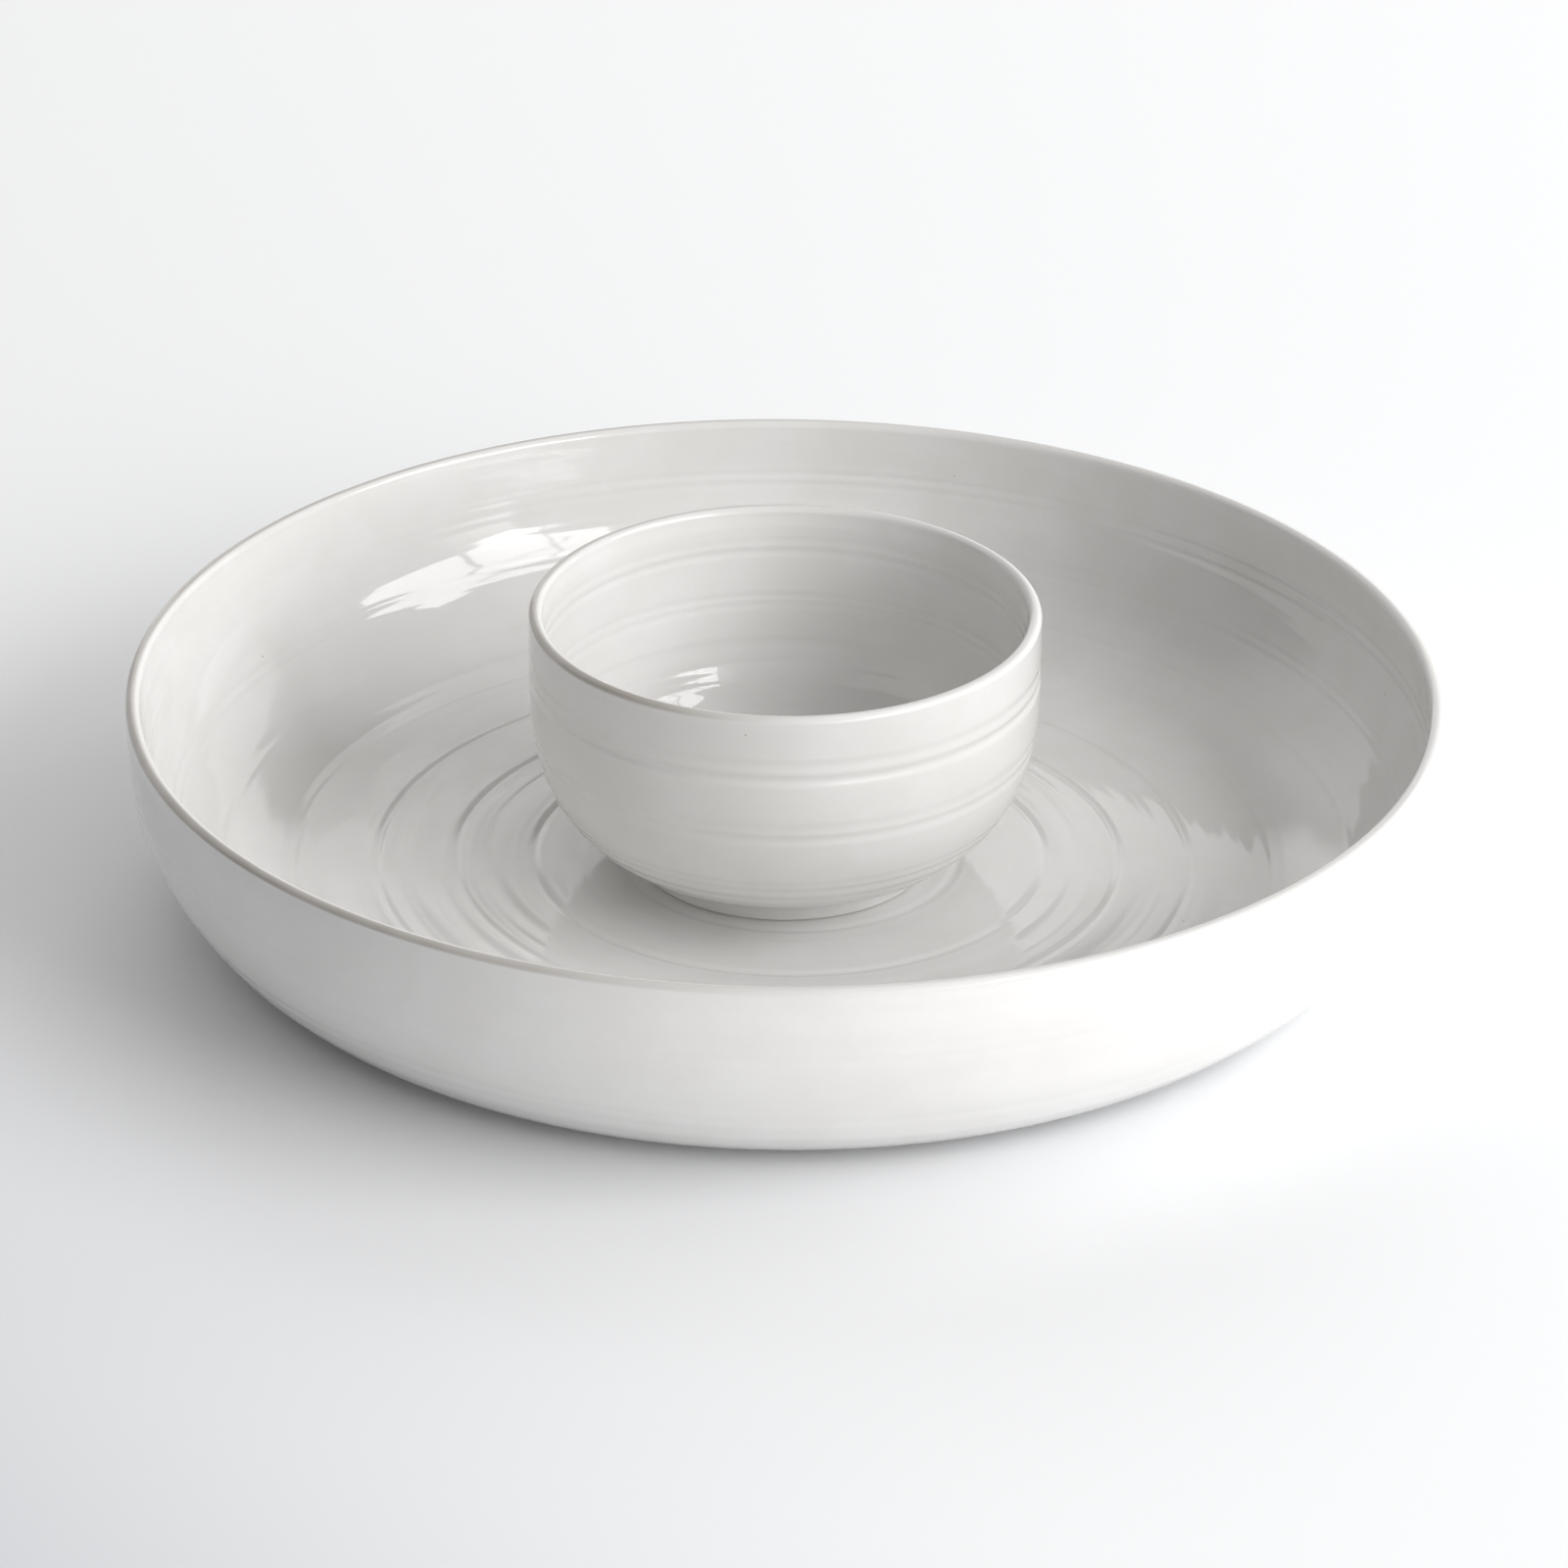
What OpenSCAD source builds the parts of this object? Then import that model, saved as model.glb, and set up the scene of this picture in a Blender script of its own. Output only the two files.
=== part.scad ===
// Chip and dip server: a wide, shallow chip bowl with a small dip bowl standing loose on the middle of its floor.
// Both are one-piece glazed porcelain, turned about the same upright axis, with throwing rings left in their walls.
// Millimetres. Origin on the table under the middle of the chip bowl, +Z up.

/* [Chip bowl] */
// Largest diameter, at the belly of the wall
chip_d = 330; // [300:1:360]
// Height from the table to the top of the lip
chip_h = 57.5; // [56:0.5:62]
// Depth of the inside, from the lip down to the floor
chip_depth = 49; // [47:0.5:51]
// Radius of the curve that the outside of the wall follows
chip_wall_arc = 50.7; // [50:0.1:54]
// Radius of the curve between the floor and the inside of the wall
chip_corner_arc = 40; // [36:0.5:42]
// Thickness of the wall at its belly
chip_wall_t = 4.4; // [4:0.1:5]
// Outside diameter of the foot ring
chip_foot_d = 262; // [250:1:266]

/* [Dip bowl] */
// Outside diameter of the upper wall
dip_d = 127.6; // [118:0.2:136]
// Height from its foot to the top of its lip
dip_h = 68.9; // [67:0.1:73]
// Thickness of the wall
dip_wall_t = 3.8; // [3.2:0.1:4.6]
// Height of the inside floor above the foot
dip_floor_h = 9.5; // [9:0.1:10.5]
// Outside diameter of the foot ring
dip_foot_d = 73.6; // [70:0.2:76]

/* [Throwing rings] */
// Distance from the middle of the chip bowl's floor to its first ring
ring_first = 44; // [42:0.5:48]
// Distance from one ring to the next, over the floor and up the wall
ring_pitch = 19.3; // [18:0.1:20]
// Depth of a single ring
ring_depth = 0.25; // [0.1:0.05:0.4]
// Depth of the paired grooves
pair_depth = 0.4; // [0.2:0.05:0.5]
// Distance between the two grooves of a pair
pair_gap = 3.4; // [3:0.1:3.8]

/* [Lifting the dip bowl out] */
// How far the dip bowl is raised above the chip bowl's floor
dip_lift = 0; // [0:1:120]

/* [Hidden] */
$fn = 180;
step = 0.6;            // spacing of outline points where an outline is curved or grooved
ring_half = 2.4;       // half the width of a single ring
pair_half = 1.8;       // half the width of one groove of a pair
lip_r = 1.8;           // rounding of the chip bowl's lip
dip_lip_r = 1.7;       // rounding of the dip bowl's lip
base_z = 3.4;          // underside of the chip bowl's base above the table
foot_w = 5;            // width of the chip bowl's foot ring
dip_foot_w = 4;        // width of the dip bowl's foot ring
dip_base_z = 3.4;      // underside of the dip bowl's base above its foot
belly_drop = 12;       // the chip bowl's wall is widest this far below its lip

chip_r = chip_d / 2;
floor_z = chip_h - chip_depth;
belly_z = chip_h - belly_drop;
wall_c = [chip_r - chip_wall_arc, belly_z];               // centre of the outer wall's curve
inner_r = chip_r - chip_wall_t;                           // inside radius of the upper wall
floor_r = inner_r - chip_corner_arc;                      // the flat floor ends here
corner_len = chip_corner_arc * PI / 2;                    // length of the curve from floor to wall
lip_c = [inner_r + lip_r, chip_h - lip_r];                // centre of the lip's rounding
inner_len = floor_r + corner_len + lip_c.y - floor_z - chip_corner_arc;
ring_count = 7;
inner_pair = floor_r + corner_len - 9;                    // middle of the groove pair inside the chip bowl
outer_pair = 5;        // middle of the pair outside it, below the belly along the wall
outer_pair_share = 0.6; // that pair is this much shallower than the others
rings = [for (i = [0:ring_count - 1]) ring_first + i * ring_pitch];

// The dip bowl's section is a superellipse: upright at the top, rounding in ever faster to the foot
dip_r = dip_d / 2;
dip_round_z = 58;      // the wall starts to round in at this height
dip_round_h = 62.6;    // height over which it would close to a point
dip_power_z = 3.4;
dip_power_r = 1.9;
dip_curve_z = 10;      // the wall's curve ends here, and its bottom edge rolls in above the foot ring
dip_edge = [40.3, 6.4]; // where that bottom edge ends
dip_pairs = [54.3, 37.2, 19.2];                           // heights of the outer groove pairs
dip_inner_pairs = [58.2, 43.2];                           // heights of the inner ones
dip_blend_z = 10.5;    // the inside curve follows the outside one down to here, then blends into the floor

// Raised cosine, 1 at u = 0 and 0 from u = -1 and 1 outwards
function bump(u) = abs(u) < 1 ? (1 + cos(180 * u)) / 2 : 0;
function sum(v) = [for (x = v) 1] * v;
function pairs(s, at) = pair_depth * sum([for (a = at, side = [-0.5, 0.5]) bump((s - a - side * pair_gap) / pair_half)]);
function arc(c, r, a0, a1, n) = [for (i = [0:n]) c + r * [cos(a0 + (a1 - a0) * i / n), sin(a0 + (a1 - a0) * i / n)]];
function unit(v) = v / norm(v);

// A path of [x, y, radius] with each inner corner rounded; the two end points stay as they are
function rounded(path, n = 6) = [for (i = [0:len(path) - 1])
    let(p = [path[i].x, path[i].y])
    each (i == 0 || i == len(path) - 1) ? [p] :
        let(
            a = unit([path[i - 1].x, path[i - 1].y] - p),
            b = unit([path[i + 1].x, path[i + 1].y] - p),
            half = acos(a * b) / 2,
            c = p + unit(a + b) * path[i].z / sin(half),
            from = p + a * path[i].z / tan(half) - c,
            to = p + b * path[i].z / tan(half) - c
        )
        [for (k = [0:n]) let(v = from * (1 - k / n) + to * k / n) c + unit(v) * path[i].z]];

// Chip bowl: depth of the rings at a distance s along the inside, from the middle of the floor outwards
function chip_inner_groove(s) =
    ring_depth * sum([for (r = rings) bump((s - r) / ring_half)]) + pairs(s, [inner_pair]);

// Point of the inside at distance s: flat floor, corner curve, upright wall
function chip_inner(s) =
    let(
        g = chip_inner_groove(s),
        turn = min(1, max(0, (s - floor_r) / corner_len)) * 90,
        rise = max(0, s - floor_r - corner_len)
    )
    s < floor_r ? [s, floor_z - g] :
        [floor_r, floor_z + chip_corner_arc + rise] + (chip_corner_arc + g) * [sin(turn), -cos(turn)];

// Distances along the inside that need a point: every step where it curves or is grooved
chip_inner_s = [for (s = [step:step:inner_len - 0.3])
    if (s > floor_r || chip_inner_groove(s - step) + chip_inner_groove(s + step) > 0) s];

// Outside of the wall, from the lip down, with one groove pair at the height of the inner one
chip_outer_top = asin((lip_c.y - belly_z) / chip_wall_arc);
chip_outer_end = -asin((belly_z - base_z) / chip_wall_arc);
chip_outer_n = round((chip_outer_top - chip_outer_end) * PI / 180 * chip_wall_arc / step);
function chip_outer(i) =
    let(
        a = chip_outer_top + (chip_outer_end - chip_outer_top) * i / chip_outer_n,
        below_belly = -a * PI / 180 * chip_wall_arc
    )
    wall_c + (chip_wall_arc - outer_pair_share * pairs(below_belly, [outer_pair])) * [cos(a), sin(a)];

chip_foot_r = chip_foot_d / 2;
function chip_outline() = concat(
    [[0, floor_z]],
    [for (s = chip_inner_s) chip_inner(s)],
    arc(lip_c, lip_r, 180, 12, 10),
    [for (i = [1:chip_outer_n - 6]) chip_outer(i)],
    rounded([
        [chip_outer(chip_outer_n - 5).x, chip_outer(chip_outer_n - 5).y, 0],
        [chip_outer(chip_outer_n).x, base_z, 3],
        [chip_foot_r + 1, base_z - 0.4, 1.2],
        [chip_foot_r, 0, 0.8],
        [chip_foot_r - foot_w, 0, 0.8],
        [chip_foot_r - foot_w - 1.5, base_z, 1.2],
        [0, base_z, 0]
    ])
);

// Dip bowl, in its own heights above its foot
function dip_wall_r(z) =
    dip_r * pow(1 - pow(max(0, dip_round_z - z) / dip_round_h, dip_power_z), 1 / dip_power_r);
function dip_normal(z) = unit([1, (dip_wall_r(z - 0.1) - dip_wall_r(z + 0.1)) / 0.2]);
function dip_outer(z) = [dip_wall_r(z), z] - pairs(z, dip_pairs) * dip_normal(z);
function dip_inner(z) = [dip_wall_r(z), z] - (dip_wall_t - pairs(z, dip_inner_pairs)) * dip_normal(z);

// The inside leaves the wall curve along its tangent and bends into the floor
dip_bend_from = dip_inner(dip_blend_z);
dip_bend_dir = let(n = dip_normal(dip_blend_z)) [n.y, -n.x];
dip_bend_corner = dip_bend_from + dip_bend_dir * (dip_floor_h - dip_bend_from.y) / dip_bend_dir.y;
dip_bend_to = dip_bend_corner - [norm(dip_bend_corner - dip_bend_from), 0];
function bend(a, b, c, n) = [for (i = [0:n]) let(t = i / n) a * pow(1 - t, 2) + b * 2 * t * (1 - t) + c * t * t];

dip_lip_c = [dip_r - dip_lip_r, dip_h - dip_lip_r];
dip_foot_r = dip_foot_d / 2;
function dip_outline() = concat(
    [[0, dip_floor_h]],
    bend(dip_bend_to, dip_bend_corner, dip_bend_from, 10),
    [for (z = [dip_blend_z + step:step:dip_lip_c.y - 2]) dip_inner(z)],
    arc(dip_lip_c, dip_lip_r, 180, 0, 12),
    [for (z = [dip_lip_c.y - step:-step:dip_curve_z + 0.3]) dip_outer(z)],
    bend([dip_wall_r(dip_curve_z), dip_curve_z], dip_edge + [3.3, 0.8], dip_edge, 8),
    rounded([
        [dip_edge.x - 0.5, dip_edge.y - 0.1, 0],
        [dip_foot_r + 1.5, 5.4, 1.2],
        [dip_foot_r, 0, 0.7],
        [dip_foot_r - dip_foot_w, 0, 0.7],
        [dip_foot_r - dip_foot_w - 1, dip_base_z, 1],
        [0, dip_base_z, 0]
    ])
);

module chip_bowl() {
    color([0.93, 0.92, 0.91]) rotate_extrude() polygon(chip_outline());
}

module dip_bowl() {
    color([0.95, 0.94, 0.93]) translate([0, 0, floor_z + dip_lift]) rotate_extrude() polygon(dip_outline());
}

chip_bowl();
dip_bowl();
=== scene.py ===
"""Looks of the chip and dip server: two thrown porcelain bowls, their glaze, the floor, lights and camera.

Metres, +Z up, same frame as the CAD model. Each bowl is a fine turned mesh that replaces its CAD node.
Azimuths are in degrees from +X towards +Y. The picture is taken from azimuth -90, where -Y is the front.
"""

import math
from collections import namedtuple

import bpy
import numpy as np
from mathutils import Matrix, Vector


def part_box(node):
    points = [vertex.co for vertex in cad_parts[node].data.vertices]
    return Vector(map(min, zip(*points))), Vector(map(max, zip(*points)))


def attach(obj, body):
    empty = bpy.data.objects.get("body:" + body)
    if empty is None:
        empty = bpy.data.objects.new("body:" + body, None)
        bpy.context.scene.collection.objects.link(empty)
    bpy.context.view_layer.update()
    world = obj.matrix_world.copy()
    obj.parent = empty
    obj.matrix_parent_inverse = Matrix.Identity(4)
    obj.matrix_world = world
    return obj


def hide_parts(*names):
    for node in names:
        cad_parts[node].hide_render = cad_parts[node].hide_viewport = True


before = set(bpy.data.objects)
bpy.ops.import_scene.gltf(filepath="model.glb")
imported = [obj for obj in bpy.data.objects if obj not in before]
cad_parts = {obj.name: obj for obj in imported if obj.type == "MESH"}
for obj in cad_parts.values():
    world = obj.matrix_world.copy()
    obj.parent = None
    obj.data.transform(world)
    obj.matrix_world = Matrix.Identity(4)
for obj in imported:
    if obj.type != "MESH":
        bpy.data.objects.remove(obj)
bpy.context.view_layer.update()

MM = 0.001
TAU = 2 * math.pi

# The outer sizes of the bowls come from the frame. The dip bowl's height is counted from its own foot.
chip_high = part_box("chip_bowl")[1]
dip_low, dip_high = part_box("dip_bowl")
chip_r, chip_h = chip_high.x, chip_high.z
dip_r, dip_h = dip_high.x, dip_high.z - dip_low.z

# The other sizes are those of the CAD part
BASE_Z = 3.4 * MM             # underside of both bases above the foot
CHIP_DEPTH = 49 * MM
CHIP_WALL = 4.4 * MM
CHIP_LIP = 1.8 * MM           # rounding of the lip
CHIP_WALL_ARC = 50.7 * MM     # curve that the outside of the wall follows
CHIP_CORNER_ARC = 40 * MM     # curve between the floor and the inside of the wall
CHIP_BELLY_DROP = 12 * MM     # the wall is widest this far below its lip
CHIP_FOOT_R = 131 * MM        # outer radius of the foot ring
CHIP_FOOT_W = 5 * MM
DIP_WALL = 3.8 * MM
DIP_LIP = 1.7 * MM
DIP_FLOOR = 9.5 * MM          # height of the inside floor
DIP_FOOT_R = 36.8 * MM
DIP_FOOT_W = 4 * MM
DIP_ROUND_Z = 58 * MM         # the dip bowl's wall is a superellipse that starts to round in at this height
DIP_ROUND_H = 62.6 * MM       # and would close to a point over this one
DIP_POWER_Z = 3.4
DIP_POWER_R = 1.9
DIP_BLEND_Z = 10.5 * MM       # the inside follows the outside down to here, then bends into the floor
DIP_CURVE_Z = 10 * MM         # the outside's curve ends here and its bottom edge rolls in above the foot ring
DIP_EDGE = (40.3 * MM, 6.4 * MM)   # the bottom edge: radius and height

# How fine the meshes are
CHIP_STEP = 0.6 * MM          # from one point of the outline to the next
DIP_STEP = 0.5 * MM
TURNS = 600                   # steps round the bowl


# ---------------------------------------------------------------- the two sections

def arc(cx, cz, radius, start, end, step):
    """Points of an arc, in degrees, a step apart, without its last point."""
    count = max(2, int(abs(math.radians(end - start)) * radius / step))
    return [
        (cx + radius * math.cos(a), cz + radius * math.sin(a))
        for a in (math.radians(start + (end - start) * i / count) for i in range(count))
    ]


def line(a, b, step):
    """Points from a to b, a step apart, without b."""
    count = max(1, int(math.dist(a, b) / step))
    return [(a[0] + (b[0] - a[0]) * i / count, a[1] + (b[1] - a[1]) * i / count) for i in range(count)]


def bend(a, corner, b, step):
    """Points of a quadratic curve from a to b, without b."""
    count = max(4, int((math.dist(a, corner) + math.dist(corner, b)) / step))
    points = []
    for i in range(count):
        t = i / count
        shares = ((1 - t) ** 2, 2 * t * (1 - t), t * t)
        points.append(tuple(a[k] * shares[0] + corner[k] * shares[1] + b[k] * shares[2] for k in (0, 1)))
    return points


def foot(edge, under, foot_r, foot_w, step):
    """The underside's stretches: in from the wall's edge, round the foot ring and on to the axis."""
    soft = 0.9 * MM       # rounding of the corners
    flare = 0.4 * MM      # the ring's outer side leans out by this much
    ease = 0.3 * MM       # its inner side starts and ends this far from its corners
    out_top = (foot_r + soft, under[1] - 0.3 * MM)
    out_side = (foot_r + flare, out_top[1] - soft)
    in_r = foot_r - foot_w
    in_top = (in_r - 1.5 * MM, BASE_Z)
    in_side = (in_top[0] + ease, BASE_Z - soft)
    return [
        ("under", bend(edge, (edge[0] - 1.2 * MM, under[1]), under, step)),
        ("under", line(under, (out_top[0] + soft, out_top[1]), step)),
        ("under", bend((out_top[0] + soft, out_top[1]), out_top, out_side, step / 4)),
        ("foot", line(out_side, (foot_r, soft), step / 2)),
        ("foot", bend((foot_r, soft), (foot_r, 0.0), (foot_r - soft, 0.0), step / 4)),
        ("foot", line((foot_r - soft, 0.0), (in_r + soft, 0.0), step / 2)),
        ("foot", bend((in_r + soft, 0.0), (in_r, 0.0), (in_r - ease, soft), step / 4)),
        ("foot", line((in_r - ease, soft), in_side, step / 2)),
        ("under", bend(in_side, in_top, (in_top[0] - soft, BASE_Z), step / 4)),
        ("under", line((in_top[0] - soft, BASE_Z), (0.0, BASE_Z), 4 * step) + [(0.0, BASE_Z)]),
    ]


def chip_section():
    """Outline of the chip bowl, from the middle of its floor over the lip to the middle of its underside.

    Returns the points and, for each, the name of the stretch that it belongs to."""
    step = CHIP_STEP
    floor = chip_h - CHIP_DEPTH
    inner = chip_r - CHIP_WALL
    corner = inner - CHIP_CORNER_ARC
    corner_top = floor + CHIP_CORNER_ARC
    lip_z = chip_h - CHIP_LIP
    wall_cx, wall_cz = chip_r - CHIP_WALL_ARC, chip_h - CHIP_BELLY_DROP
    edge_z = BASE_Z + 0.6 * MM
    top = math.degrees(math.asin((lip_z - wall_cz) / CHIP_WALL_ARC))
    low = -math.degrees(math.asin((wall_cz - edge_z) / CHIP_WALL_ARC))
    edge_turn = math.radians(low)
    edge = (wall_cx + CHIP_WALL_ARC * math.cos(edge_turn), wall_cz + CHIP_WALL_ARC * math.sin(edge_turn))
    under = (edge[0] - 3 * MM, BASE_Z - 0.2 * MM)
    stretches = [
        ("inside", line((0.0, floor), (corner, floor), step)),
        ("inside", arc(corner, corner_top, CHIP_CORNER_ARC, -90, 0, step)),
        ("inside", line((inner, corner_top), (inner, lip_z), step)),
        ("lip", arc(inner + CHIP_LIP, lip_z, CHIP_LIP, 180, top, step / 3)),
        ("outside", arc(wall_cx, wall_cz, CHIP_WALL_ARC, top, low, step)),
    ]
    return join(stretches + foot(edge, under, CHIP_FOOT_R, CHIP_FOOT_W, step))


def dip_wall_r(z):
    """Radius of the dip bowl's outside at a height above its foot."""
    return dip_r * (1 - (max(0.0, DIP_ROUND_Z - z) / DIP_ROUND_H) ** DIP_POWER_Z) ** (1 / DIP_POWER_R)


def dip_normal(z):
    """Outward direction of the dip bowl's wall there."""
    reach = 0.05 * MM
    slope = (dip_wall_r(z - reach) - dip_wall_r(z + reach)) / (2 * reach)
    size = math.hypot(1, slope)
    return 1 / size, slope / size


def dip_inside(z):
    """Point of the inside, one wall's thickness in from the outside at height z."""
    nr, nz = dip_normal(z)
    return dip_wall_r(z) - DIP_WALL * nr, z - DIP_WALL * nz


def dip_section():
    """Outline of the dip bowl, the same way round, in heights above its own foot."""
    step = DIP_STEP
    lip_z = dip_h - DIP_LIP
    ease = 4 * MM

    def lip_ease(z):
        """The wall thins slightly into the lip, whose rounding is narrower than the wall."""
        t = max(0.0, (z - (lip_z - ease)) / ease)
        return (DIP_WALL - 2 * DIP_LIP) * t * t * (3 - 2 * t)

    blend_from = dip_inside(DIP_BLEND_Z)
    nr, nz = dip_normal(DIP_BLEND_Z)
    drop = (DIP_FLOOR - blend_from[1]) / -nr
    blend_corner = (blend_from[0] + nz * drop, DIP_FLOOR)
    floor_end = (blend_corner[0] - math.dist(blend_corner, blend_from), DIP_FLOOR)
    heights_in = [z for _, z in line((0.0, DIP_BLEND_Z), (0.0, lip_z), step)]
    heights_out = [z for _, z in line((0.0, lip_z), (0.0, DIP_CURVE_Z), step)]
    roll = (DIP_EDGE[0] + 3.3 * MM, DIP_EDGE[1] + 0.8 * MM)
    under = (DIP_FOOT_R + 2.9 * MM, DIP_EDGE[1] - 0.7 * MM)
    stretches = [
        ("inside", line((0.0, DIP_FLOOR), floor_end, step)),
        ("inside", bend(floor_end, blend_corner, blend_from, step)),
        ("inside", [(dip_inside(z)[0] + lip_ease(z), dip_inside(z)[1]) for z in heights_in]),
        ("lip", arc(dip_r - DIP_LIP, lip_z, DIP_LIP, 180, 0, step / 3)),
        ("outside", [(dip_wall_r(z), z) for z in heights_out]),
        ("under", bend((dip_wall_r(DIP_CURVE_Z), DIP_CURVE_Z), roll, DIP_EDGE, step)),
    ]
    return join(stretches + foot(DIP_EDGE, under, DIP_FOOT_R, DIP_FOOT_W, step))


def join(stretches):
    """One list of points, and the name of each point's stretch."""
    points, names = [], []
    for name, run in stretches:
        points += run
        names += [name] * len(run)
    return np.array(points), names


# ---------------------------------------------------------------- throwing marks

# Where a point of a bowl is: the distance along the surface from the middle of the floor, the same from the
# lip down the outside, the angle round the bowl, the height above its foot and the depth below its lip
Spot = namedtuple("Spot", "s s_out turn z below")

# Grooves: place, half width and depth, in mm
CHIP_RINGS = (  # place: distance from the middle of the floor along the surface
    (41.3, 2.0, 0.30), (64, 1.7, 0.26), (83.5, 1.5, 0.20), (102.8, 1.4, 0.20), (123.5, 1.3, 0.13),
    (142.3, 1.2, 0.15), (157.2, 1.2, 0.13), (159.7, 1.2, 0.14),
)
CHIP_PAIR = ((174.3, 1.3, 0.34), (177.3, 1.3, 0.38))
CHIP_OUTER = ((15.1, 1.8, 0.09), (18.4, 1.8, 0.10), (38.7, 2.2, 0.10))  # place: depth below the lip
DIP_OUTER = (  # place: height above the bowl's foot
    (56.2, 2.1, 0.22), (52.5, 2.0, 0.46), (38.8, 2.1, 0.18), (35.5, 2.0, 0.32),
    (20.5, 1.8, 0.16), (17.9, 1.8, 0.26), (14.6, 1.7, 0.14),
)
DIP_INNER = (
    (59.9, 1.6, 0.14), (56.5, 1.7, 0.20), (44.3, 1.5, 0.14), (42.0, 1.5, 0.16), (32.4, 1.4, 0.11),
    (30.7, 1.4, 0.11), (26.8, 1.4, 0.10), (22.4, 1.4, 0.10),
)

# Fine waves: pitch and height, in mm
CHIP_INNER_WAVES = ((19.3, 0.09), (9.1, 0.095), (3.6, 0.028), (1.7, 0.006))
CHIP_OUTER_WAVES = ((9.4, 0.05), (3.3, 0.008))
DIP_INNER_WAVES = ((8.3, 0.04), (3.1, 0.012))
DIP_OUTER_WAVES = ((7.7, 0.03), (2.9, 0.006))


def bump(u):
    """Raised cosine, 1 at 0 and 0 from -1 and 1 outwards."""
    return np.where(np.abs(u) < 1, (1 + np.cos(np.pi * np.clip(u, -1, 1))) / 2, 0.0)


def wander(turn, seed):
    """A slow random wave round the bowl, mostly between -1 and 1, that joins up with itself."""
    rng = np.random.default_rng(seed)
    total = 0
    for k in (1, 2, 3, 4):
        total = total + rng.normal() / k * np.cos(k * turn + rng.uniform(0, TAU))
    return total / 1.4


def groove(at, turn, place, half, depth, seed, drift, fade):
    """Depth of one groove: it wanders a little and gets deeper and shallower on its way round."""
    centre = place + drift * wander(turn, seed)
    strength = np.clip(1 + fade * wander(turn, seed + 100), 0.15, 1.6)
    return depth * strength * bump((at - centre) / half)


def rings(at, turn, table, seed, drift=0.35 * MM, fade=0.35):
    """Depth of all the grooves in a table."""
    total = 0
    for k, (place, half, depth) in enumerate(table):
        total = total + groove(at, turn, place * MM, half * MM, depth * MM, seed + k, drift, fade)
    return total


def ripples(s, turn, waves, seed):
    """Depth of the fine waves left by the fingers: nearly parallel to the lip, and in bunches."""
    total = 0
    for k, (pitch, height) in enumerate(waves):
        phase = TAU * s / (pitch * MM) + 2.2 * wander(turn, seed + 7 * k)
        beat = TAU * s / (pitch * MM * 2.7) + 1.7 * wander(turn, seed + 7 * k + 3)
        swell = 0.6 + 0.4 * np.cos(beat)
        total = total + height * MM * swell * (1 + np.cos(phase + 1.3 * np.sin(beat * 0.61))) / 2
    return total


def off_centre(spot):
    """How far the rings on the chip bowl's floor sit outwards: most on the right, and none near the wall."""
    push, right, even = 1.9 * MM, 0.3, 0.45
    ends, over = 100 * MM, 40 * MM
    return push * np.clip((ends - spot.s) / over, 0, 1) * (np.cos(spot.turn - right) + even)


def chip_marks(stretch, spot):
    """Depth of all the marks in the chip bowl's surface, positive into the clay."""
    if stretch == "inside":
        on_right = (0.5 + 0.5 * np.cos(spot.turn - 0.35)) ** 1.5
        depth = rings(spot.s - off_centre(spot), spot.turn, CHIP_RINGS, seed=11)
        depth = depth + rings(spot.s, spot.turn, CHIP_PAIR, seed=31) * on_right
        clear_of_middle = np.clip((spot.s - 41 * MM) / (8 * MM), 0, 1)
        return depth + clear_of_middle * ripples(spot.s, spot.turn, CHIP_INNER_WAVES, seed=200)
    if stretch == "outside":
        depth = rings(spot.below, spot.turn, CHIP_OUTER, seed=61)
        return depth + ripples(spot.s_out, spot.turn, CHIP_OUTER_WAVES, seed=300)
    return 0.0


def dip_marks(stretch, spot):
    """The same for the dip bowl, whose grooves mostly go in pairs."""
    if stretch == "inside":
        depth = rings(spot.z, spot.turn, DIP_INNER, seed=81)
        return depth + ripples(spot.s, spot.turn, DIP_INNER_WAVES, seed=400)
    if stretch == "outside":
        depth = rings(spot.z, spot.turn, DIP_OUTER, seed=121, drift=0.25 * MM, fade=0.2)
        return depth + ripples(spot.s_out, spot.turn, DIP_OUTER_WAVES, seed=500)
    return 0.0


def chip_lean(z, turn):
    """The wall bulges more on the right than on the left, and the lip isn't quite round."""
    bulge, oval = 1.2 * MM, 0.25 * MM
    below_lip = np.clip((chip_h - z) / (14 * MM), 0, 1)
    above_foot = np.clip(z / (15 * MM), 0, 1)
    share = below_lip * below_lip * (3 - 2 * below_lip) * above_foot
    return bulge * share * np.cos(turn) + oval * np.cos(2 * turn + 0.8)


def dip_lean(z, turn):
    """The dip bowl's wall is slightly oval."""
    return 0.12 * MM * np.cos(2 * turn - 0.4)


# ---------------------------------------------------------------- turned meshes

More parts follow.
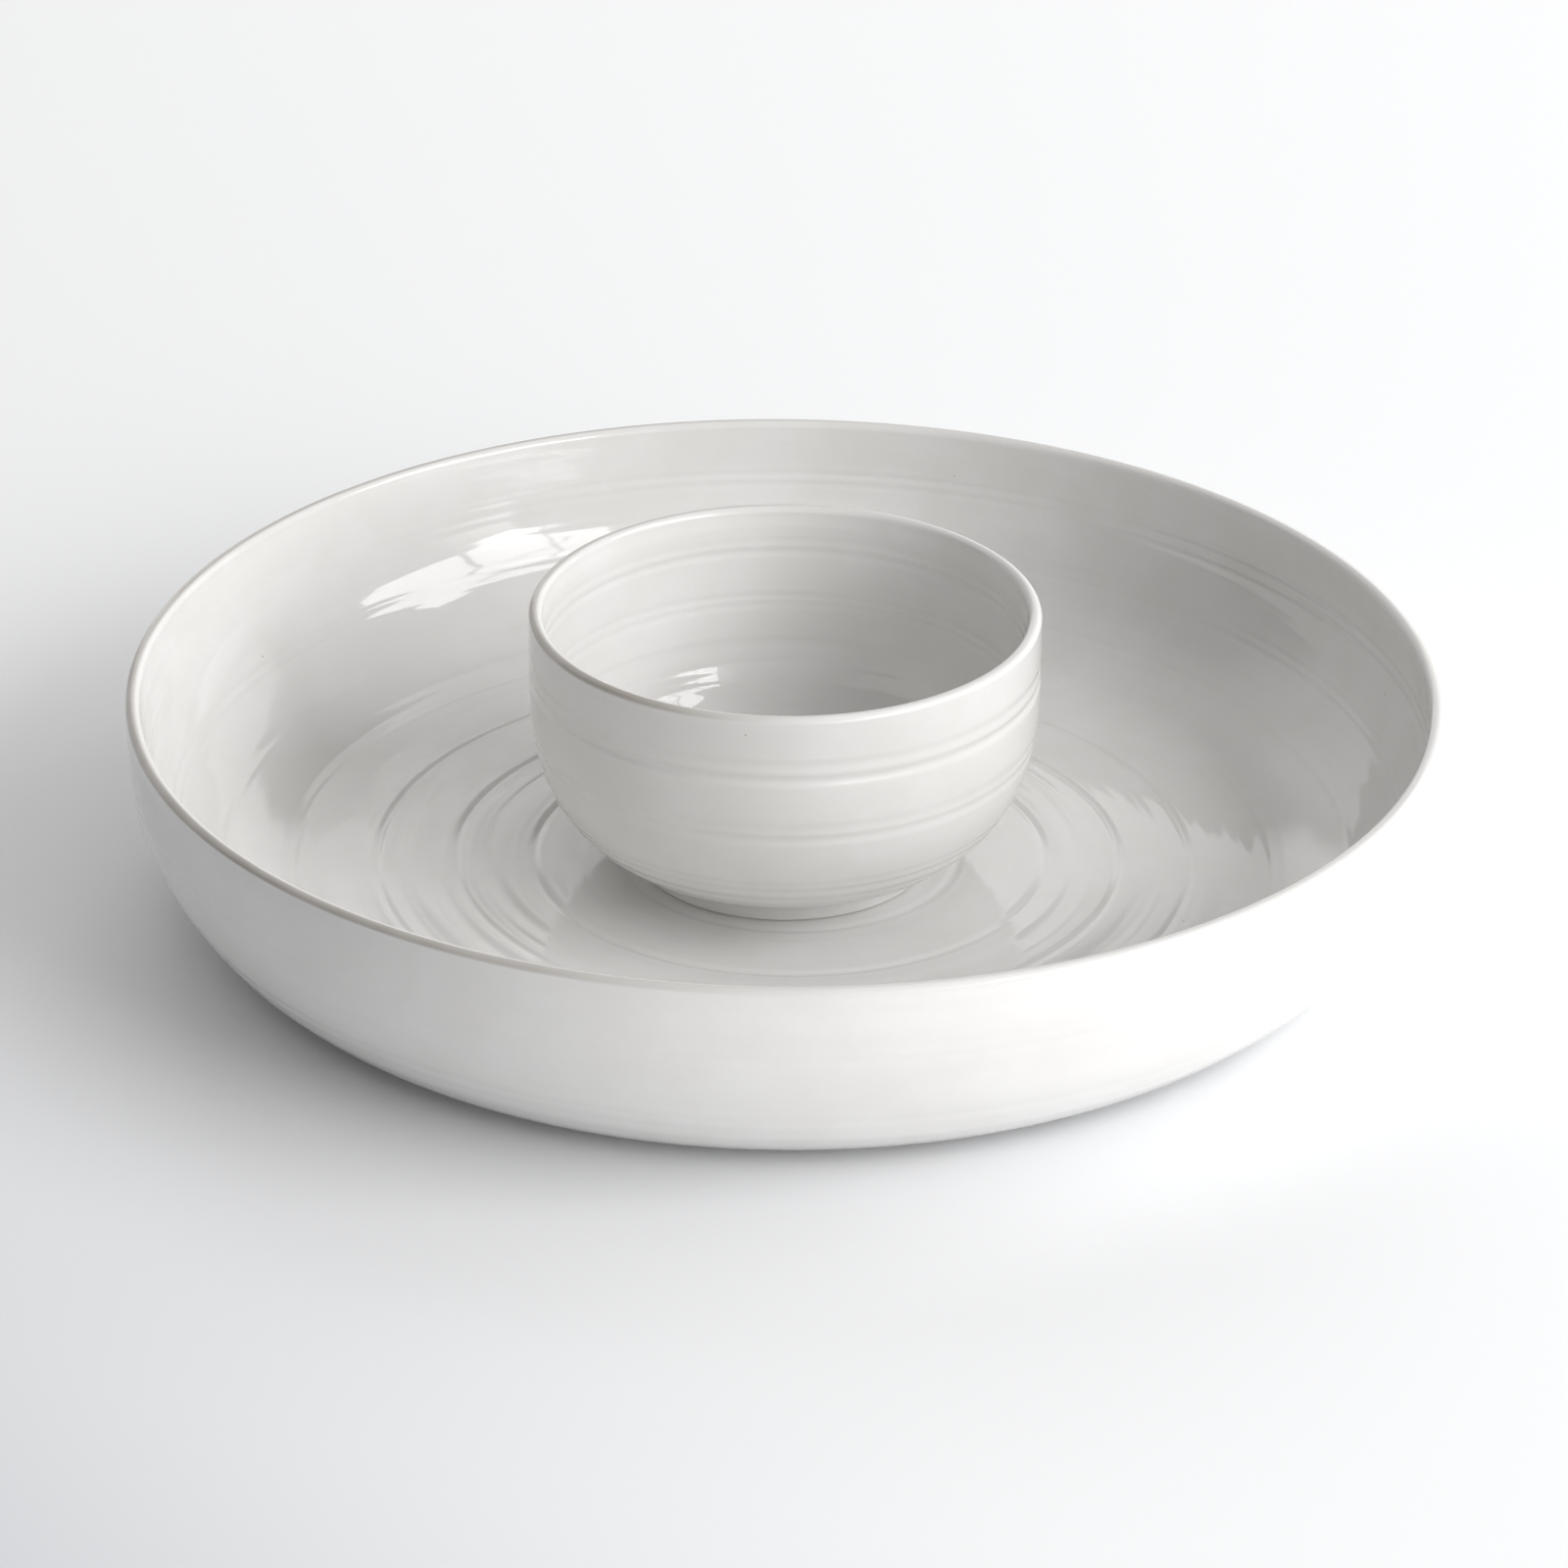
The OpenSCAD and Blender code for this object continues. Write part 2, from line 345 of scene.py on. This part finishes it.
def turned(name, section, marks, lean, lift):
    """A closed mesh turned about Z from an outline that starts and ends on the axis.

    marks(stretch, spot) is the depth of the marks there, and lean(z, turn) is how far the wall leans out of
    true at a height above the bowl's foot, which fades out towards the middle. The foot stands at lift."""
    points, names = section
    along = np.concatenate([[0], np.cumsum(np.hypot(*np.diff(points, axis=0).T))])
    lip_at = along[int(np.argmax(points[:, 1]))]
    tangent = np.gradient(points, axis=0)
    tangent /= np.linalg.norm(tangent, axis=1)[:, None]
    radius, height = points[1:-1, 0][:, None], points[1:-1, 1][:, None]
    normal_r, normal_z = -tangent[1:-1, 1][:, None], tangent[1:-1, 0][:, None]
    s = along[1:-1][:, None]
    names = names[1:-1]
    count = len(names)
    turn = np.arange(TURNS)[None, :] / TURNS * TAU

    depth = np.zeros((count, TURNS))
    for stretch in set(names):
        rows = [i for i, belongs_to in enumerate(names) if belongs_to == stretch]
        spot = Spot(s[rows], s[rows] - lip_at, turn, height[rows], points[:, 1].max() - height[rows])
        depth[rows] = marks(stretch, spot)
    fade_from, fade_over = 0.6, 0.35  # in shares of the bowl's radius
    leans = np.clip((radius / points[:, 0].max() - fade_from) / fade_over, 0, 1)
    r = radius - normal_r * depth + leans * lean(height, turn)
    z = height - normal_z * depth + lift
    vertices = np.stack([r * np.cos(turn), r * np.sin(turn), z], axis=2).reshape(-1, 3)
    poles = [[0, 0, points[0, 1] + lift], [0, 0, points[-1, 1] + lift]]

    here = np.arange(TURNS)
    after = (here + 1) % TURNS
    start_pole, end_pole = count * TURNS, count * TURNS + 1
    last = (count - 1) * TURNS
    faces = []
    for first in range(0, last, TURNS):
        second = first + TURNS
        faces += np.stack([second + here, second + after, first + after, first + here], axis=1).tolist()
    faces += [(a, b, start_pole) for a, b in zip(here.tolist(), after.tolist())]
    faces += [(last + b, last + a, end_pole) for a, b in zip(here.tolist(), after.tolist())]
    mesh = bpy.data.meshes.new(name)
    mesh.from_pydata(np.vstack([vertices, poles]).tolist(), [], faces)
    mesh.polygons.foreach_set("use_smooth", [True] * len(mesh.polygons))
    mesh.update()
    piece = bpy.data.objects.new(name, mesh)
    bpy.context.scene.collection.objects.link(piece)
    return piece


# ---------------------------------------------------------------- shader nodes

MIX_A, MIX_B, MIX_RESULT = 6, 7, 2  # sockets that a Mix node uses for colours


class Wires:
    """Short ways to add shader nodes to a material or world."""

    def __init__(self, owner):
        owner.use_nodes = True
        self.nodes = owner.node_tree.nodes
        self.links = owner.node_tree.links
        self.shader = self.nodes.get("Principled BSDF")

    def node(self, kind, inputs, **settings):
        """A new node. An input is given a value, or linked if it is given another node's output."""
        made = self.nodes.new(kind)
        for key, value in settings.items():
            setattr(made, key, value)
        for key, value in inputs.items():
            if isinstance(value, bpy.types.NodeSocket):
                self.links.new(value, made.inputs[key])
            else:
                made.inputs[key].default_value = value
        return made

    def math(self, operation, a, b):
        return self.node("ShaderNodeMath", {0: a, 1: b}, operation=operation).outputs["Value"]

    def vector(self, operation, inputs, output="Value"):
        return self.node("ShaderNodeVectorMath", inputs, operation=operation).outputs[output]

    def noise(self, place, scale, detail):
        inputs = {"Vector": place, "Scale": scale, "Detail": detail}
        return self.node("ShaderNodeTexNoise", inputs).outputs["Fac"]

    def between(self, value, low, high, out_low=0.0, out_high=1.0):
        """A soft step from out_low, where value is low or less, to out_high, where it is high or more."""
        inputs = {"Value": value, "From Min": low, "From Max": high, "To Min": out_low, "To Max": out_high}
        return self.node("ShaderNodeMapRange", inputs, interpolation_type="SMOOTHSTEP").outputs["Result"]

    def mix(self, share, a, b):
        inputs = {"Factor": share, MIX_A: a, MIX_B: b}
        return self.node("ShaderNodeMix", inputs, data_type="RGBA").outputs[MIX_RESULT]

    def into(self, name, value):
        """Gives one of the main shader's inputs a value, or links it to a node's output."""
        if isinstance(value, bpy.types.NodeSocket):
            self.links.new(value, self.shader.inputs[name])
        else:
            self.shader.inputs[name].default_value = value


# ---------------------------------------------------------------- glaze

SPECK = (0.30, 0.26, 0.22, 1)            # dark clay at the bottom of a pinhole
PAINTED_LIP_SHADE = (0.40, 0.365, 0.325, 1)     # painted shade on the outside of the lip, where it faces away from the light, in a clay brown
BARE_CLAY = ((0.66, 0.62, 0.56, 1), (0.74, 0.70, 0.64, 1))
GLAZE_IOR = 1.52
RELIEF = 0.014 * MM                      # height of the finest marks, which are only shaded


def tint(base, factors):
    return tuple(c * factor for c, factor in zip(base, factors)) + (1,)


def glaze(name, base, lip, foot_z, foot_radii, seed):
    """Glossy white glaze: faint mottling, throwing streaks and a few pinholes.

    On the left the outside of the lip, whose middle is at lip = (radius, height), is painted darker as shade
    where it faces away from the light, and there is bare clay under the foot ring."""
    material = bpy.data.materials.new(name)
    w = Wires(material)
    place = w.node("ShaderNodeTexCoord", {}).outputs["Object"]
    axes = w.node("ShaderNodeSeparateXYZ", {0: place}).outputs
    height = axes["Z"]
    flat = w.node("ShaderNodeCombineXYZ", {0: axes["X"], 1: axes["Y"]}).outputs[0]
    radius = w.vector("LENGTH", {0: flat})
    round_way = w.vector("NORMALIZE", {0: flat}, "Vector")
    way = w.node("ShaderNodeSeparateXYZ", {0: round_way}).outputs

    def streaks(pitch, length, shift):
        """Noise drawn out along the throwing lines: pitch across them, length in radians round the bowl."""
        across = w.math("MULTIPLY", radius, 1 / pitch)
        up = w.math("MULTIPLY", height, 1 / pitch)
        along = w.math("ADD", w.math("MULTIPLY", way["X"], 1 / length), seed + shift)
        around = w.math("MULTIPLY", way["Y"], 1 / length)
        vector = w.node("ShaderNodeCombineXYZ", {0: across, 1: up, 2: along}).outputs[0]
        inputs = {"Vector": vector, "W": around, "Scale": 1.0, "Detail": 2.0, "Roughness": 0.5}
        return w.node("ShaderNodeTexNoise", inputs, noise_dimensions="4D").outputs["Fac"]

    mottle = w.noise(place, 45.0, 4.0)
    grain = w.noise(place, 900.0, 2.0)
    broad = streaks(6 * MM, 0.5, 3.1)
    fine = streaks(1.5 * MM, 0.35, 17.7)

    # The glaze itself: mottled, with pale grey streaks and grain
    pale, dull = tint(base, (1.018, 1.018, 1.018)), tint(base, (0.972, 0.968, 0.96))
    colour = w.mix(w.between(mottle, 0.3, 0.7), dull, pale)
    colour = w.mix(w.between(broad, 0.35, 0.75, 0.0, 0.45), colour, tint(base, (0.965, 0.965, 0.965)))
    colour = w.mix(w.between(grain, 0.45, 0.8, 0.0, 0.25), colour, tint(base, (0.95, 0.95, 0.95)))

    # Pinholes: a dot in the middle of a few of the cells
    cells = w.node("ShaderNodeTexVoronoi", {"Vector": place, "Scale": 110.0, "Randomness": 1.0}).outputs
    luck = w.node("ShaderNodeSeparateColor", {0: cells["Color"]}).outputs[0]
    dot = w.between(cells["Distance"], 0.022, 0.045, 1.0, 0.0)
    speck = w.math("MULTIPLY", dot, w.math("GREATER_THAN", luck, 0.955))
    colour = w.mix(w.math("MULTIPLY", speck, 0.55), colour, SPECK)

    # Painted shade on the outside of the lip, only on the left, which faces away from the light
    lip_r, lip_z = lip
    high_up = w.between(height, lip_z + 0.1 * MM, lip_z + 1.0 * MM)
    far_out = w.between(radius, lip_r - 0.9 * MM, lip_r + 0.5 * MM)
    leftness = w.vector("DOT_PRODUCT", {0: round_way, 1: (-0.9, 0.15, 0.0)})
    painted_lip_shade = w.math("MULTIPLY", high_up, far_out)
    painted_lip_shade = w.math("MULTIPLY", painted_lip_shade, w.between(leftness, -0.35, 0.45, 0.0, 0.85))
    painted_lip_shade = w.math("MULTIPLY", painted_lip_shade, w.between(mottle, 0.3, 0.7, 0.7, 1.0))
    colour = w.mix(painted_lip_shade, colour, PAINTED_LIP_SHADE)

    # Bare clay under the foot ring
    inner, outer = foot_radii
    low = w.between(height, foot_z + 0.25 * MM, foot_z + 0.6 * MM, 1.0, 0.0)
    past_inner = w.between(radius, inner - 1 * MM, inner)
    within_outer = w.between(radius, outer, outer + 1 * MM, 1.0, 0.0)
    bare = w.math("MULTIPLY", low, w.math("MULTIPLY", past_inner, within_outer))
    w.into("Base Color", w.mix(bare, colour, w.mix(grain, *BARE_CLAY)))

    gloss = w.between(broad, 0.3, 0.7, 0.035, 0.06)
    w.into("Roughness", w.math("ADD", gloss, w.math("MULTIPLY", bare, 0.65)))
    w.into("IOR", GLAZE_IOR)
    waves = w.math("ADD", fine, w.math("MULTIPLY", grain, 0.10))
    waves = w.math("SUBTRACT", waves, w.math("MULTIPLY", speck, 0.6))
    relief = w.node("ShaderNodeBump", {"Strength": 1.0, "Distance": RELIEF, "Height": waves})
    w.into("Normal", relief.outputs["Normal"])
    return material


# ---------------------------------------------------------------- floor and lights

FLOOR_HALF = 6.0
FLOOR_PALE = (0.86, 0.87, 0.885, 1)
# colour of the shade painted on the floor at the front left
FLOOR_PAINTED_SHADE = (0.50, 0.52, 0.56, 1)
PAINTED_SHADE_TOWARDS = (-0.8, -0.6, 0.0)
PAINTED_SHADE_FROM, PAINTED_SHADE_TO = 0.12, 0.50          # distances that way at which the painted shade on the floor starts and is full
FLOOR_LIGHTS = (  # name, azimuth, elevation, watts
    ("floor_light_front", -35, 30, 2.6),
    ("floor_light_right", 25, 32, 8.6),
    ("floor_light_back", 95, 35, 7.4),
)
FLOOR_LIGHT_SIZE = 1.1
FLOOR_LIGHT_AWAY = 2.0
WORLD_COLOUR = (1.0, 0.985, 0.968, 1)
WORLD_BASE = 0.005
WORLD_GLOWS = (  # azimuth, elevation, strength, and the angles from there where it starts to fade and ends
    (132, 20, 1.05, 8, 40),
    (60, 85, 0.52, 10, 50),
    (-48, 5, 3.0, 5, 30),
    (-95, 15, 0.55, 10, 50),
    (0, 45, 0.38, 10, 50),
)
PALE_WALL = (66, 1.2, 48, 6, 27.2, 29.8)  # azimuth, strength, half width, soft edge, and its soft top edge
WINDOW_AWAY = 2.0
WINDOW_RADIANCE = 5.9
WINDOW_BAR = 0.03                         # width of the upright bars; this and the edges are in WINDOW_AWAYs
WINDOW_EDGES_Y = (0.04, -0.45, -0.90, -1.40)
WINDOW_EDGES_Z = (0.38, 0.78, 1.12)

# Turns a lamp to shine towards -X, with its width along Y and its height along Z
FACING_LEFT = Matrix(((0, 0, 1, 0), (1, 0, 0, 0), (0, 1, 0, 0), (0, 0, 0, 1)))


def direction(azimuth, elevation):
    """Unit vector towards a point of the sky."""
    a, e = math.radians(azimuth), math.radians(elevation)
    return Vector((math.cos(e) * math.cos(a), math.cos(e) * math.sin(a), math.sin(e)))


def studio_floor():
    """A large pale floor, with shade painted on it that greys it a little towards the front left."""
    corners = [(x * FLOOR_HALF, y * FLOOR_HALF, 0) for x, y in ((-1, -1), (1, -1), (1, 1), (-1, 1))]
    mesh = bpy.data.meshes.new("studio_floor")
    mesh.from_pydata(corners, [], [(0, 1, 2, 3)])
    floor = bpy.data.objects.new("studio_floor", mesh)
    bpy.context.scene.collection.objects.link(floor)
    material = bpy.data.materials.new("studio_floor")
    w = Wires(material)
    place = w.node("ShaderNodeTexCoord", {}).outputs["Object"]
    # Painted shade: the floor's colour greys towards the front left, where less light falls
    grey = w.between(w.vector("DOT_PRODUCT", {0: place, 1: PAINTED_SHADE_TOWARDS}), PAINTED_SHADE_FROM, PAINTED_SHADE_TO)
    w.into("Base Color", w.mix(grey, FLOOR_PALE, FLOOR_PAINTED_SHADE))
    w.into("Roughness", 0.9)
    w.into("Specular IOR Level", 0.1)
    mesh.materials.append(material)
    return floor


def floor_lights(floor):
    """Soft lights on the floor alone, so that the floor is as pale as the glaze is bright."""
    only = bpy.data.collections.new("floor_only")
    bpy.context.scene.collection.children.link(only)
    only.objects.link(floor)
    for name, azimuth, elevation, energy in FLOOR_LIGHTS:
        light = bpy.data.lights.new(name, "AREA")
        light.size = FLOOR_LIGHT_SIZE
        light.energy = energy
        item = bpy.data.objects.new(name, light)
        bpy.context.scene.collection.objects.link(item)
        away = direction(azimuth, elevation)
        item.location = away * FLOOR_LIGHT_AWAY
        item.rotation_euler = away.to_track_quat("Z", "Y").to_euler()
        item.light_linking.receiver_collection = only
        item.visible_camera = False


def studio_world():
    """Light from all round: a few soft glows, and a pale wall at the back that ends at a height."""
    world = bpy.data.worlds.new("studio")
    bpy.context.scene.world = world
    w = Wires(world)
    place = w.node("ShaderNodeTexCoord", {}).outputs["Generated"]

    def towards(azimuth, elevation, strength, near, far):
        aim = w.vector("DOT_PRODUCT", {0: place, 1: direction(azimuth, elevation)})
        return w.between(aim, math.cos(math.radians(far)), math.cos(math.radians(near)), 0.0, strength)

    total = WORLD_BASE
    for glow in WORLD_GLOWS:
        total = w.math("ADD", towards(*glow), total)
    azimuth, strength, half, soft, top_from, top_to = PALE_WALL
    height = w.node("ShaderNodeSeparateXYZ", {0: place}).outputs["Z"]
    top = w.between(height, math.sin(math.radians(top_from)), math.sin(math.radians(top_to)), 1.0, 0.0)
    wall = w.math("MULTIPLY", towards(azimuth, 0, strength, half - soft, half), top)
    background = w.nodes["Background"]
    background.inputs["Color"].default_value = WORLD_COLOUR
    w.links.new(w.math("ADD", total, wall), background.inputs["Strength"])


def pane(name, place, width, height):
    """One lit pane, which shines to the left."""
    light = bpy.data.lights.new(name, "AREA")
    light.shape = "RECTANGLE"
    light.size, light.size_y = width, height
    light.energy = WINDOW_RADIANCE * math.pi * width * height
    item = bpy.data.objects.new(name, light)
    bpy.context.scene.collection.objects.link(item)
    item.matrix_world = Matrix.Translation(place) @ FACING_LEFT
    item.visible_camera = False


def studio_window():
    """A window of six panes in the wall on the right. Its level bar is half as wide as the upright ones."""
    bar = WINDOW_BAR * WINDOW_AWAY
    edges_y = [WINDOW_AWAY * y for y in WINDOW_EDGES_Y]
    edges_z = [WINDOW_AWAY * z for z in WINDOW_EDGES_Z]
    for i in range(len(edges_y) - 1):
        for j in range(len(edges_z) - 1):
            y0, y1 = edges_y[i + 1] + bar / 2, edges_y[i] - bar / 2
            z0, z1 = edges_z[j] + bar / 4, edges_z[j + 1] - bar / 4
            middle = Vector((WINDOW_AWAY, (y0 + y1) / 2, (z0 + z1) / 2))
            pane(f"window_{i}{j}", middle, y1 - y0, z1 - z0)


# ---------------------------------------------------------------- camera

CAMERA_ELEVATION = 25.74      # seen from the middle of the chip bowl's lip
CAMERA_REACH = 10.37          # distance from there, in radii of the lip
CAMERA_BELOW = 0.88           # it points this many degrees below the middle of the lip
CAMERA_ROLL = 0.46
CAMERA_LENS = 156.4           # mm, on a sensor 36 mm wide


def camera(rim_z, rim_r):
    """The viewing angle: seen from the front and above, as from across a table, through a long lens."""
    data = bpy.data.cameras.new("camera")
    data.sensor_width = 36
    data.lens = CAMERA_LENS
    data.clip_end = 50
    item = bpy.data.objects.new("camera", data)
    bpy.context.scene.collection.objects.link(item)
    place = Vector((0, 0, rim_z)) + direction(-90, CAMERA_ELEVATION) * CAMERA_REACH * rim_r
    tilt = Matrix.Rotation(math.radians(90 - CAMERA_ELEVATION - CAMERA_BELOW), 4, "X")
    roll = Matrix.Rotation(math.radians(CAMERA_ROLL), 4, "Z")
    item.matrix_world = Matrix.Translation(place) @ tilt @ roll
    bpy.context.scene.camera = item


# ---------------------------------------------------------------- the scene

LIP_IN = 0.8 * MM             # the chip bowl's lip is this much narrower than its belly, all round

camera(chip_h, chip_r - LIP_IN)
bpy.context.scene.view_settings.view_transform = "Standard"
bpy.context.scene.view_settings.look = "None"
floor_lights(studio_floor())
studio_world()
studio_window()

chip = turned("chip_bowl_glazed", chip_section(), chip_marks, chip_lean, 0.0)
chip_lip = (chip_r - CHIP_WALL + CHIP_LIP, chip_h - CHIP_LIP)
chip_foot = (CHIP_FOOT_R - CHIP_FOOT_W, CHIP_FOOT_R)
chip.data.materials.append(glaze("chip_bowl_glaze", (0.802, 0.797, 0.789), chip_lip, 0.0, chip_foot, 1.0))
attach(chip, "server")
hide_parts("chip_bowl")

dip = turned("dip_bowl_glazed", dip_section(), dip_marks, dip_lean, dip_low.z)
dip_lip = (dip_r - DIP_LIP, dip_high.z - DIP_LIP)
dip_foot = (DIP_FOOT_R - DIP_FOOT_W, DIP_FOOT_R)
dip.data.materials.append(glaze("dip_bowl_glaze", (0.80, 0.795, 0.787), dip_lip, dip_low.z, dip_foot, 2.0))
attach(dip, "dip")
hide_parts("dip_bowl")
